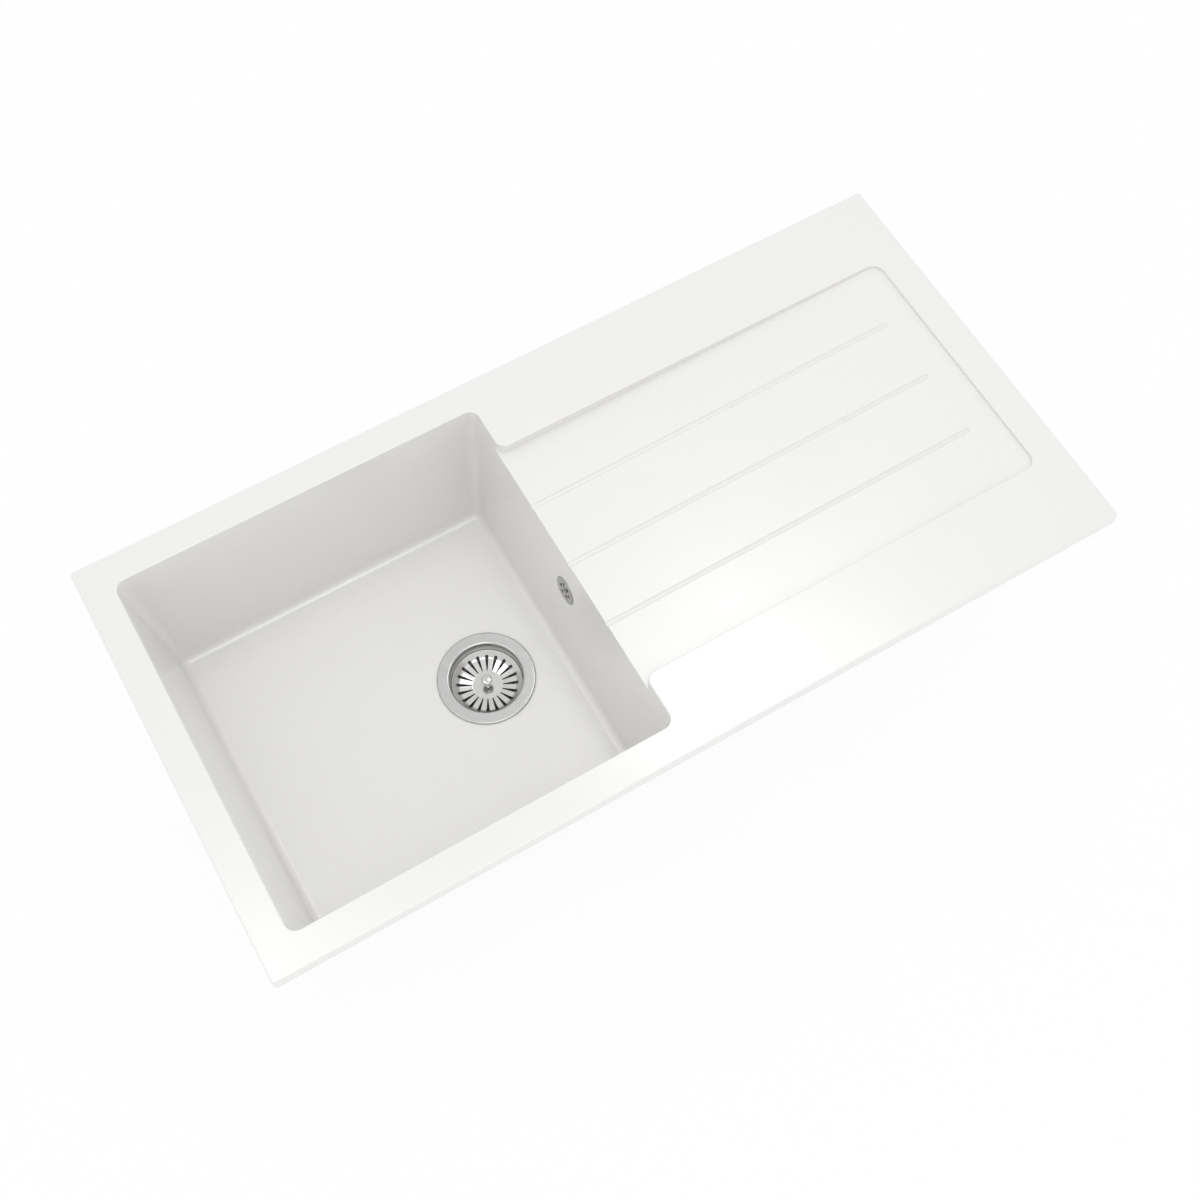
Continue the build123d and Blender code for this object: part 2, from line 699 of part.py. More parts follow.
# Overflow pipe: rigid pipe, down from the elbow and round into the waste body's inlet
pipe_start = elbow_end.offset(-pipe_insert)
pipe_finish = inlet_end.offset(-pipe_insert)
with BuildPart() as overflow_pipe:
    with BuildLine() as pipe_line:
        FilletPolyline(
            pipe_start.origin,
            (elbow_end.origin.X, 0, inlet_end.origin.Z),
            pipe_finish.origin,
            radius=pipe_bend_radius,
        )
    with BuildSketch(pipe_start):
        Circle(pipe_diameter / 2)
        Circle(pipe_diameter / 2 - pipe_wall, mode=Mode.SUBTRACT)
    sweep(path=pipe_line.line)
finish(overflow_pipe, "overflow_pipe")

# Compression nuts and the rubber seals that they press on the pipe, one at each end
for end_name, spigot_end in (("upper", elbow_end), ("lower", inlet_end)):
    with BuildPart() as pipe_seal:
        with BuildSketch(spigot_end):
            Circle(spigot_diameter / 2)
            Circle(pipe_diameter / 2 + fit_gap, mode=Mode.SUBTRACT)
        extrude(amount=pipe_seal_height)
    finish(pipe_seal, f"{end_name}_pipe_seal")

    with BuildPart() as pipe_nut:
        with BuildSketch(spigot_end.offset(-nut_skirt)):
            Circle(nut_diameter / 2)
            with PolarLocations(nut_diameter / 2, nut_rib_count):
                Rectangle(2 * nut_rib_height, nut_rib_width)
        extrude(amount=nut_skirt + pipe_seal_height)
        with BuildSketch(spigot_end.offset(pipe_seal_height)):
            Circle(nut_diameter / 2)
        extrude(amount=nut_front)
        with BuildSketch(spigot_end.offset(-nut_skirt)):
            Circle(spigot_diameter / 2 + thread_gap)
        extrude(amount=nut_skirt + pipe_seal_height, mode=Mode.SUBTRACT)
        with BuildSketch(spigot_end.offset(pipe_seal_height)):
            Circle(pipe_diameter / 2 + thread_gap)
        extrude(amount=nut_front, mode=Mode.SUBTRACT)
    finish(pipe_nut, f"{end_name}_pipe_nut")
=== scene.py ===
import math
import bpy
import bmesh
from mathutils import Matrix, Vector


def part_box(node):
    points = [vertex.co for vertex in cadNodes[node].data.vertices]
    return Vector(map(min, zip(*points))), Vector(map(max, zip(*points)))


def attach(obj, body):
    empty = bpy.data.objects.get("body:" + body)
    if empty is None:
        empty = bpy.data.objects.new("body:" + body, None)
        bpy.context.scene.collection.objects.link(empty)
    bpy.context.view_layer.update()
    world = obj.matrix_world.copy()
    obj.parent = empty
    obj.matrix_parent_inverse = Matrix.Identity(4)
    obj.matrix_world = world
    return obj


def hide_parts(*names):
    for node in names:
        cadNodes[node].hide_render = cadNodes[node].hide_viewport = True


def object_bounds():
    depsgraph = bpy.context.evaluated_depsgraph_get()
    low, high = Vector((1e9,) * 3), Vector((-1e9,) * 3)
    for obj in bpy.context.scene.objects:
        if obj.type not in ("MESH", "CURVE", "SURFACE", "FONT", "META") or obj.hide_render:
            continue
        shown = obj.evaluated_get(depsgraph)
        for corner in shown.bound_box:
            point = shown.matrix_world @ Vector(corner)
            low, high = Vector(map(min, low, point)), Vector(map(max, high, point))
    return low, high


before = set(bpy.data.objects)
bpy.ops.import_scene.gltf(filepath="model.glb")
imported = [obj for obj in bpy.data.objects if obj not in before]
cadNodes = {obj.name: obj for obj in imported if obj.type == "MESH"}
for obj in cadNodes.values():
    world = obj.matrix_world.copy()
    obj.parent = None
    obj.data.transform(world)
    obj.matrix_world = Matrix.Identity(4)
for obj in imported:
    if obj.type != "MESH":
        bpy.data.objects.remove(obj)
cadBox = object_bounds()
scene = bpy.context.scene
mm = 0.001
tiny = 1e-6   # a length or an angle below this counts as none

for leftover in [o for o in scene.objects if o.type in {"MESH", "CAMERA", "LIGHT"}]:
    if leftover not in cadNodes.values():
        bpy.data.objects.remove(leftover)
print("frame loaded:", len(cadNodes), "nodes")

# the waste hangs in the bowl's floor, the overflow cover on the bowl's right wall
gasketLow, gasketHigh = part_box("flange_gasket")
wastePlace = Matrix.Translation(
    ((gasketLow[0] + gasketHigh[0]) / 2, (gasketLow[1] + gasketHigh[1]) / 2, gasketLow[2])
)
overflowWall = {"x": -42.604, "z": -52.0, "draft": 6.2}   # millimetres and degrees
wallSin = math.sin(math.radians(overflowWall["draft"]))
wallCos = math.cos(math.radians(overflowWall["draft"]))
overflowPlace = Matrix(
    (
        (0, -wallSin, -wallCos, overflowWall["x"] * mm),
        (1, 0, 0, 0),
        (0, -wallCos, wallSin, overflowWall["z"] * mm),
        (0, 0, 0, 1),
    )
)


# materials

def newMaterial(name):
    material = bpy.data.materials.new(name)
    material.use_nodes = True
    tree = material.node_tree
    tree.nodes.clear()
    output = tree.nodes.new("ShaderNodeOutputMaterial")
    shader = tree.nodes.new("ShaderNodeBsdfPrincipled")
    tree.links.new(shader.outputs["BSDF"], output.inputs["Surface"])
    return material, tree, shader


def addNode(tree, kind, **values):
    node = tree.nodes.new(kind)
    for key, value in values.items():
        setattr(node, key, value)
    return node


def objectPoint(tree, centre=(0, 0, 0), turn=(0, 0, 0)):
    # Object coordinates, moved so that centre is the pattern's own origin
    source = addNode(tree, "ShaderNodeTexCoord")
    mapping = addNode(tree, "ShaderNodeMapping", vector_type="TEXTURE")
    mapping.inputs["Location"].default_value = centre
    mapping.inputs["Rotation"].default_value = turn
    tree.links.new(source.outputs["Object"], mapping.inputs["Vector"])
    return mapping.outputs["Vector"]


def noise(tree, point, scale, detail=2.0, roughness=0.5):
    node = addNode(tree, "ShaderNodeTexNoise")
    node.inputs["Scale"].default_value = scale
    node.inputs["Detail"].default_value = detail
    node.inputs["Roughness"].default_value = roughness
    tree.links.new(point, node.inputs["Vector"])
    return node.outputs["Fac"]


def spread(tree, value, low, high, fromLow=0.3, fromHigh=0.7):
    node = addNode(tree, "ShaderNodeMapRange")
    node.inputs["From Min"].default_value = fromLow
    node.inputs["From Max"].default_value = fromHigh
    node.inputs["To Min"].default_value = low
    node.inputs["To Max"].default_value = high
    tree.links.new(value, node.inputs["Value"])
    return node.outputs["Result"]


def mixedColours(tree, factor, first, second, kind="MIX"):
    # first is a colour or another node's output, second a colour
    node = addNode(tree, "ShaderNodeMix", data_type="RGBA", blend_type=kind)
    inputs = {socket.identifier: socket for socket in node.inputs}
    outputs = {socket.identifier: socket for socket in node.outputs}
    tree.links.new(factor, inputs["Factor_Float"])
    if isinstance(first, bpy.types.NodeSocket):
        tree.links.new(first, inputs["A_Color"])
    else:
        inputs["A_Color"].default_value = (*first, 1)
    inputs["B_Color"].default_value = (*second, 1)
    return outputs["Result_Color"]


def bump(tree, shader, height, values):
    node = addNode(tree, "ShaderNodeBump")
    node.inputs["Strength"].default_value = values["bump"]
    node.inputs["Distance"].default_value = values["bumpDepth"]
    tree.links.new(height, node.inputs["Height"])
    tree.links.new(node.outputs["Normal"], shader.inputs["Normal"])


castComposite = {
    "pale": (0.803, 0.797, 0.785),
    "grain": (0.768, 0.762, 0.748),
    "grainsPerMetre": 950.0,      # of the quartz filler
    "grainShare": (0.42, 0.75),   # noise values between which pale turns to grain
    "cloudsPerMetre": 9.0,        # slow changes of the polish
    "roughLow": 0.17,
    "roughHigh": 0.22,
    "ior": 1.95,                  # how strongly the polished surface mirrors
    "bump": 0.06,
    "bumpDepth": 0.0002,
}


def makeComposite(name, values):
    material, tree, shader = newMaterial(name)
    point = objectPoint(tree)
    grains = noise(tree, point, values["grainsPerMetre"], detail=3.0, roughness=0.6)
    clouds = noise(tree, point, values["cloudsPerMetre"])
    share = spread(tree, grains, 0.0, 1.0, *values["grainShare"])
    tone = mixedColours(tree, share, values["pale"], values["grain"])
    rough = spread(tree, clouds, values["roughLow"], values["roughHigh"])
    tree.links.new(tone, shader.inputs["Base Color"])
    tree.links.new(rough, shader.inputs["Roughness"])
    shader.inputs["IOR"].default_value = values["ior"]
    bump(tree, shader, grains, values)
    return material


brushedSteel = {
    "bright": (0.6, 0.595, 0.586),
    "dull": (0.566, 0.561, 0.551),
    "ringsPerMetre": 2600.0,      # concentric polishing marks
    "smearsPerMetre": 60.0,       # patches that are less bright
    "roughLow": 0.11,
    "roughHigh": 0.18,
    "bump": 0.05,
    "bumpDepth": 0.0001,
}
# each depth is a pair of heights, in metres from the bowl's floor
cupTone = {
    **brushedSteel,
    "bright": (0.55, 0.548, 0.544),
    "dull": (0.519, 0.517, 0.512),
    "dullDepth": (0.0005, -0.002), "dullRough": 0.36,    # the cup's wall is left less polished
    "scaleDepth": (-0.0015, -0.008), "scaleTone": 1.45,  # painted light: a paler band lower down the cup's wall
    "paintedLightMetal": 0.0,
    "darkDepth": (-0.012, -0.02), "darkTone": 0.3,       # painted shade: darker below the basket
}
# a darker copy of the polished steel for the overflow cover and its screw: painted shade
shadedCoverTone = {
    **brushedSteel,
    "bright": (0.45, 0.447, 0.44),
    "dull": (0.4, 0.397, 0.39),
    "roughHigh": 0.24,
}


def makeSteel(name, values, place):
    # polished steel sheet with faint marks that run round the piece's own axis
    material, tree, shader = newMaterial(name)
    point = objectPoint(tree, place.to_translation(), place.to_euler())
    split = addNode(tree, "ShaderNodeSeparateXYZ")
    tree.links.new(point, split.inputs["Vector"])
    height = split.outputs["Z"]
    across = addNode(tree, "ShaderNodeCombineXYZ")
    tree.links.new(split.outputs["X"], across.inputs["X"])
    tree.links.new(split.outputs["Y"], across.inputs["Y"])
    radius = addNode(tree, "ShaderNodeVectorMath", operation="LENGTH")
    tree.links.new(across.outputs["Vector"], radius.inputs[0])
    rings = addNode(tree, "ShaderNodeCombineXYZ")
    tree.links.new(radius.outputs["Value"], rings.inputs["X"])
    tree.links.new(height, rings.inputs["Y"])
    marks = noise(tree, rings.outputs["Vector"], values["ringsPerMetre"], roughness=0.6)
    smears = noise(tree, point, values["smearsPerMetre"], detail=3.0)
    tone = mixedColours(tree, spread(tree, smears, 0.0, 1.0), values["bright"], values["dull"])
    rough = spread(tree, marks, values["roughLow"], values["roughHigh"])
    shader.inputs["Metallic"].default_value = 1.0
    # painted light and shade on the cup: its colour is made paler lower down the wall and darker below the
    # basket, by depth
    if "darkDepth" in values:
        for mark in ("scale", "dark"):
            share = spread(tree, height, 0.0, 1.0, *values[mark + "Depth"])
            tone = mixedColours(tree, share, tone, [values[mark + "Tone"]] * 3, "MULTIPLY")
        duller = spread(tree, height, 0.0, values["dullRough"], *values["dullDepth"])
        added = addNode(tree, "ShaderNodeMath", operation="ADD")
        tree.links.new(rough, added.inputs[0])
        tree.links.new(duller, added.inputs[1])
        rough = added.outputs[0]
        # painted light: the paler band is also made less metallic, so that it catches more light
        metal = spread(tree, height, 1.0, values["paintedLightMetal"], *values["scaleDepth"])
        tree.links.new(metal, shader.inputs["Metallic"])
    tree.links.new(tone, shader.inputs["Base Color"])
    tree.links.new(rough, shader.inputs["Roughness"])
    bump(tree, shader, marks, values)
    return material


mouldedSkin = {"flowsPerMetre": 35.0, "bump": 0.08, "bumpDepth": 0.0002}
turnedSkin = {"scuffsPerMetre": 420.0, "scuffDetail": 4.0, "scuffRoughness": 0.65}


def makePlastic(name, colour, darker, rough, grainsPerMetre):
    material, tree, shader = newMaterial(name)
    point = objectPoint(tree)
    grain = noise(tree, point, grainsPerMetre)
    flow = noise(tree, point, mouldedSkin["flowsPerMetre"])
    tone = mixedColours(tree, spread(tree, flow, 0.0, 1.0), colour, darker)
    tree.links.new(tone, shader.inputs["Base Color"])
    tree.links.new(spread(tree, grain, *rough), shader.inputs["Roughness"])
    bump(tree, shader, grain, mouldedSkin)
    return material


def makeMetal(name, colour, darker, rough):
    material, tree, shader = newMaterial(name)
    scuffs = noise(
        tree, objectPoint(tree), turnedSkin["scuffsPerMetre"],
        turnedSkin["scuffDetail"], turnedSkin["scuffRoughness"],
    )
    tone = mixedColours(tree, spread(tree, scuffs, 0.0, 1.0), colour, darker)
    tree.links.new(tone, shader.inputs["Base Color"])
    tree.links.new(spread(tree, scuffs, *rough), shader.inputs["Roughness"])
    shader.inputs["Metallic"].default_value = 1.0
    return material


compositeWhite = makeComposite("compositeWhite", castComposite)
wasteSteel = makeSteel("wasteSteel", brushedSteel, wastePlace)
cupSteel = makeSteel("cupSteel", cupTone, wastePlace)
shadedCoverSteel = makeSteel("shadedCoverSteel", shadedCoverTone, overflowPlace)
turnedSteel = makeMetal("turnedSteel", (0.58, 0.575, 0.565), (0.45, 0.445, 0.435), (0.25, 0.4))
turnedBrass = makeMetal("turnedBrass", (0.78, 0.58, 0.28), (0.62, 0.44, 0.2), (0.22, 0.38))
blackRubber = makePlastic("blackRubber", (0.014, 0.014, 0.015), (0.022, 0.022, 0.023), (0.6, 0.8), 900.0)
greyMoulding = makePlastic("greyMoulding", (0.5, 0.51, 0.52), (0.46, 0.47, 0.48), (0.38, 0.52), 1100.0)
greyPipe = makePlastic("greyPipe", (0.6, 0.61, 0.62), (0.56, 0.57, 0.58), (0.25, 0.36), 500.0)
darkNut = makePlastic("darkNut", (0.055, 0.056, 0.06), (0.075, 0.076, 0.08), (0.42, 0.58), 1100.0)
print("materials made")


# mesh tools, all in millimetres until a piece is placed

straightHalf = math.radians(89.0)   # a corner with a larger half angle counts as straight
pointWeld = 1e-4                    # points of a piece closer than this are one


def arcCorners(points, radii, steps):
    # rounds the corners of an open line; radii has one value for each inner corner
    line = [Vector(points[0])]
    for i in range(1, len(points) - 1):
        corner = Vector(points[i])
        before = (Vector(points[i - 1]) - corner).normalized()
        after = (Vector(points[i + 1]) - corner).normalized()
        half = before.angle(after) / 2
        radius = radii[i - 1]
        if radius <= 0 or half > straightHalf:
            line.append(corner)
            continue
        back = radius / math.tan(half)
        centre = corner + (before + after).normalized() * (radius / math.sin(half))
        first = corner + before * back - centre
        last = corner + after * back - centre
        sweep = math.atan2(first.x * last.y - first.y * last.x, first.dot(last))
        for k in range(steps + 1):
            turn = Matrix.Rotation(sweep * k / steps, 2)
            line.append(centre + turn @ first)
    line.append(Vector(points[-1]))
    return line


def offsetLine(line, distance):
    moved = []
    for i, point in enumerate(line):
        first = line[max(i - 1, 0)]
        last = line[min(i + 1, len(line) - 1)]
        along = (last - first).normalized()
        moved.append(point + Vector((-along.y, along.x)) * distance)
    return moved


def heldLine(line, reach):
    # points close to the ends of each long straight run keep its shading flat
    held = [line[0]]
    for first, last in zip(line, line[1:]):
        run = last - first
        if run.length > 3 * reach:
            held += [first + run.normalized() * reach, last - run.normalized() * reach]
        held.append(last)
    return held


def heightOn(line, radius):
    # height of a line of (radius, height) at one radius
    for first, last in zip(line, line[1:]):
        if first.x <= radius <= last.x:
            return first.y + (last.y - first.y) * (radius - first.x) / max(last.x - first.x, tiny)
    return line[0].y if radius < line[0].x else line[-1].y


def turnStrips(strips, steps, span=math.tau, start=0.0):
    # spins open or closed lines of (radius, height) about Z
    shape = bmesh.new()
    full = abs(span - math.tau) < tiny
    columns = steps if full else steps + 1
    for strip in strips:
        grid = []
        for point in strip:
            if point[0] < tiny:
                pole = shape.verts.new((0, 0, point[1]))
                grid.append([pole] * columns)
                continue
            row = []
            for k in range(columns):
                angle = start + span * k / steps
                row.append(
                    shape.verts.new((point[0] * math.cos(angle), point[0] * math.sin(angle), point[1]))
                )
            grid.append(row)
        for low, high in zip(grid, grid[1:]):
            for k in range(steps):
                n = (k + 1) % columns
                ring = [low[k], low[n], high[n], high[k]]
                face = [v for i, v in enumerate(ring) if v not in ring[:i]]
                if len(face) > 2:
                    shape.faces.new(face)
    return shape


def prism(first, second):
    # closed bar between two outlines with the same number of corners
    shape = bmesh.new()
    ends = [[shape.verts.new(corner) for corner in outline] for outline in (first, second)]
    for i in range(len(first)):
        n = (i + 1) % len(first)
        shape.faces.new((ends[0][i], ends[0][n], ends[1][n], ends[1][i]))
    shape.faces.new(ends[0][::-1])
    shape.faces.new(ends[1])
    return shape


def sectorLoop(inner, outer, half, arcSteps, sideSteps):
    loop = []
    for k in range(arcSteps):
        angle = -half + 2 * half * k / arcSteps
        loop.append(Vector((outer * math.cos(angle), outer * math.sin(angle))))
    for k in range(sideSteps):
        radius = outer + (inner - outer) * k / sideSteps
        loop.append(Vector((radius * math.cos(half), radius * math.sin(half))))
    for k in range(arcSteps):
        angle = half - 2 * half * k / arcSteps
        loop.append(Vector((inner * math.cos(angle), inner * math.sin(angle))))
    for k in range(sideSteps):
        radius = inner + (outer - inner) * k / sideSteps
        loop.append(Vector((radius * math.cos(half), -radius * math.sin(half))))
    return loop


def roundHoleLoop(centre, radius, arcSteps, sideSteps):
    loop = []
    for quarter, steps in enumerate((arcSteps, sideSteps, arcSteps, sideSteps)):
        for k in range(steps):
            angle = math.pi / 2 * (quarter - 0.5 + k / steps)
            loop.append(Vector((centre + radius * math.cos(angle), radius * math.sin(angle))))
    return loop


def slotLoop(small, smallHalf, big, bigHalf, arcSteps, sideSteps):
    loop = []
    for k in range(arcSteps):
        angle = -math.pi / 2 + math.pi * k / arcSteps
        loop.append(Vector((big + bigHalf * math.cos(angle), bigHalf * math.sin(angle))))
    for k in range(sideSteps):
        part = k / sideSteps
        loop.append(Vector((big + (small - big) * part, bigHalf + (smallHalf - bigHalf) * part)))
    for k in range(arcSteps):
        angle = math.pi / 2 + math.pi * k / arcSteps
        loop.append(Vector((small + smallHalf * math.cos(angle), smallHalf * math.sin(angle))))
    for k in range(sideSteps):
        part = k / sideSteps
        loop.append(Vector((small + (big - small) * part, -smallHalf + (smallHalf - bigHalf) * part)))
    return loop


def grownLoop(loop, distance):
    grown = []
    count = len(loop)
    for i, point in enumerate(loop):
        along = (loop[(i + 1) % count] - loop[i - 1]).normalized()
        grown.append(point + Vector((along.y, -along.x)) * distance)
    return grown


def holedPatch(shape, edgeLoop, holeLoop, topHeight, bottomHeight, lip, rings=3):
    # sheet between a sector's outline and a hole; the heights are functions of the radius
    wide = grownLoop(holeLoop, lip)
    count = len(edgeLoop)

    def ringAt(loop, height, drop=0.0):
        return [shape.verts.new((p.x, p.y, height(p.length) + drop)) for p in loop]

    def bridge(first, second):
        for i in range(count):
            n = (i + 1) % count
            shape.faces.new((first[i], first[n], second[n], second[i]))

    levels = [[a.lerp(b, k / rings) for a, b in zip(edgeLoop, wide)] for k in range(rings + 1)]
    top = [ringAt(level, topHeight) for level in levels]
    bottom = [ringAt(level, bottomHeight) for level in levels]
    upper = ringAt(holeLoop, topHeight, -lip)
    lower = ringAt(holeLoop, bottomHeight, lip)
    chain = top + [upper, lower] + bottom[::-1]
    for first, second in zip(chain, chain[1:]):
        bridge(first, second)


def holedSector(strips, count, radii, steps, hole, heights, lip):
    # one of count equal sectors: turned strips, and between two radii a sheet with a hole;
    # steps are the points along the sector's arcs and along its sides
    span = math.tau / count
    shape = turnStrips(strips, steps[0], span, -span / 2)
    holedPatch(shape, sectorLoop(*radii, span / 2, *steps), hole, *heights, lip)
    return shape


def plainMesh(shape, name, place, sharp=35.0):
    # bmesh to mesh: merged, outward, smooth with creases, and put in place
    bmesh.ops.remove_doubles(shape, verts=shape.verts[:], dist=pointWeld)
    bmesh.ops.recalc_face_normals(shape, faces=shape.faces[:])
    mesh = bpy.data.meshes.new(name)
    shape.to_mesh(mesh)
    shape.free()
    mesh.transform(place @ Matrix.Scale(mm, 4))
    mesh.shade_smooth()
    mesh.set_sharp_from_angle(angle=math.radians(sharp))
    return mesh


def newCarrier(mesh):
    carrier = bpy.data.objects.new("carrier", mesh)
    scene.collection.objects.link(carrier)
    return carrier


def finishedMesh(carrier):
    # the mesh as the carrier's modifiers leave it; the carrier and its own mesh go
    blank = carrier.data
    seen = carrier.evaluated_get(bpy.context.evaluated_depsgraph_get())
    mesh = bpy.data.meshes.new_from_object(seen)
    bpy.data.objects.remove(carrier)
    bpy.data.meshes.remove(blank)
    return mesh


def addPiece(name, mesh, material, body, slotName, *stoodFor):
    piece = bpy.data.objects.new(name, mesh)
    scene.collection.objects.link(piece)
    mesh.materials.clear()
    mesh.materials.append(material)
    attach(piece, body)
    if stoodFor:
        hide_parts(*stoodFor)


# Geometry Nodes

def newTree(name, inputs, result):
    tree = bpy.data.node_groups.new(name, "GeometryNodeTree")
    sockets = {}
    for label, kind in inputs.items():
        socket = tree.interface.new_socket(label, in_out="INPUT", socket_type="NodeSocket" + kind)
        sockets[label] = socket.identifier
    tree.interface.new_socket(result, in_out="OUTPUT", socket_type="NodeSocketGeometry")
    return tree, sockets


def grownShape(mesh, tree, sockets, values):
    # runs a node tree on a mesh and gives back the plain result
    carrier = newCarrier(mesh)
    modifier = carrier.modifiers.new("grown", "NODES")
    modifier.node_group = tree
    for label, value in values.items():
        modifier[sockets[label]] = value
    grown = finishedMesh(carrier)
    shape = bmesh.new()
    shape.from_mesh(grown)
    bpy.data.meshes.remove(grown)
    return shape


def ringTree(name):
    # copies of one sector or bar, turned about Z and merged
    inputs = {
        "Sector": "Geometry", "Count": "Int", "First Angle": "Float", "Weld": "Float", "Finish": "Material",
    }
    tree, sockets = newTree(name, inputs, "Ring")
    source = addNode(tree, "NodeGroupInput")
    points = addNode(tree, "GeometryNodePoints")
    index = addNode(tree, "GeometryNodeInputIndex")
    share = addNode(tree, "ShaderNodeMath", operation="DIVIDE")
    turn = addNode(tree, "ShaderNodeMath", operation="MULTIPLY_ADD")
    angles = addNode(tree, "ShaderNodeCombineXYZ")
    copies = addNode(tree, "GeometryNodeInstanceOnPoints")
    real = addNode(tree, "GeometryNodeRealizeInstances")
    weld = addNode(tree, "GeometryNodeMergeByDistance")
    finish = addNode(tree, "GeometryNodeSetMaterial")
    target = addNode(tree, "NodeGroupOutput")
    turn.inputs[1].default_value = math.tau
    link = tree.links.new
    link(source.outputs["Count"], points.inputs["Count"])
    link(index.outputs["Index"], share.inputs[0])
    link(source.outputs["Count"], share.inputs[1])
    link(share.outputs[0], turn.inputs[0])
    link(source.outputs["First Angle"], turn.inputs[2])
    link(turn.outputs[0], angles.inputs["Z"])
    link(points.outputs[0], copies.inputs["Points"])
    link(source.outputs["Sector"], copies.inputs["Instance"])
    link(angles.outputs["Vector"], copies.inputs["Rotation"])
    link(copies.outputs["Instances"], real.inputs["Geometry"])
    link(real.outputs["Geometry"], weld.inputs["Geometry"])
    link(source.outputs["Weld"], weld.inputs["Distance"])
    link(weld.outputs["Geometry"], finish.inputs["Geometry"])
    link(source.outputs["Finish"], finish.inputs["Material"])
    link(finish.outputs["Geometry"], target.inputs["Ring"])
    return tree, sockets


ringOfCopies, ringSockets = ringTree("ringOfCopies")
sectorWeld = 0.002   # millimetres within which the edges of neighbouring sectors join


def ringMesh(shape, name, count, material, place, firstAngle=0.0):
    sector = bpy.data.meshes.new(name + "Sector")
    shape.to_mesh(sector)
    shape.free()
    values = {"Count": count, "First Angle": firstAngle, "Weld": sectorWeld, "Finish": material}
    return plainMesh(grownShape(sector, ringOfCopies, ringSockets, values), name, place)


# strainer flange: turned-down edge, flat ring, cup, seat and drilled throat
flangeSizes = {
    "edge": 57.0, "sheet": 1.0, "top": 2.5, "edgeGap": 0.25, "edgeRound": 1.2,
    "cup": 42.0, "cupBend": 2.0, "seat": -22.8, "throat": 26.0, "throatFloor": -40.8, "bend": 2.5,
    "bore": 4.1, "holes": 8, "holeRadius": 4.5, "holeCircle": 17.0, "holeLip": 0.12,
    "drilled": (9.5, 23.2),   # radii of the ring that the holes are in
    "hold": 0.4,              # how near to its bends a flat run is held flat
}


def makeFlange(size):
    half = size["sheet"] / 2
    patchInner, patchOuter = size["drilled"]
    edgeLine = size["edge"] - half
    edgeLow = size["edgeGap"] + half
    floorTop = size["throatFloor"]
    floorUnder = size["throatFloor"] - size["sheet"]
    bends = arcCorners(
        [
            (edgeLine, edgeLow),
            (edgeLine, size["top"] - half),
            (size["cup"] + half, size["top"] - half),
            (size["cup"] + half, size["seat"] - half),
            (size["throat"] + half, size["seat"] - half),
            (size["throat"] + half, floorTop - half),
            (patchOuter, floorTop - half),
        ],
        [size["edgeRound"], size["cupBend"], size["bend"], size["bend"], size["bend"]],
        steps=8,
    )
    centre = heldLine(bends, size["hold"])
    top = offsetLine(centre, -half)
    under = offsetLine(centre, half)
    lipSteps = 9
    lip = [
        Vector((edgeLine + half * math.cos(a), edgeLow + half * math.sin(a)))
        for a in (-math.pi * k / lipSteps for k in range(1, lipSteps))
    ]
    edgeStrip = top[::-1] + lip + under
    hubStrip = [
        Vector((patchInner, floorUnder)),
        Vector((size["bore"], floorUnder)),
        Vector((size["bore"], floorTop)),
        Vector((patchInner, floorTop)),
    ]
    steps = (18, 8)
    return holedSector(
        [edgeStrip, hubStrip], size["holes"], size["drilled"], steps,
        roundHoleLoop(size["holeCircle"], size["holeRadius"], *steps),
        (lambda radius: floorTop, lambda radius: floorUnder), size["holeLip"],
    )


addPiece(
    "strainerFlange",
    ringMesh(makeFlange(flangeSizes), "strainerFlange", flangeSizes["holes"], cupSteel, wastePlace),
    cupSteel, "sink", "polished_steel", "strainer_flange",
)
print("strainer flange made")


# strainer basket: one dished sheet with a rolled rim, a slotted cone and a flat disc
basketSizes = {
    "rim": 41.3, "bead": 0.55, "sheet": 0.8, "rimDrop": -12.3, "rimWidth": 0.3,
    "cone": 33.5, "coneDrop": -16.9, "coneBend": 6.0, "disc": 17.5, "discTop": -19.0, "bore": 2.05,
    "slots": 20, "slotOuter": 35.75, "slotInner": 17.75, "slotHalf": 1.9, "tipHalf": 0.45, "slotLip": 0.1,
    "slotted": (17.05, 36.6),        # radii of the ring that the slots are in
    "discHold": 12.0,                # radius of the points that hold the disc flat
    "beadAngles": (145.0, -121.0),   # where the rolled rim leaves the sheet's upper and lower face
}


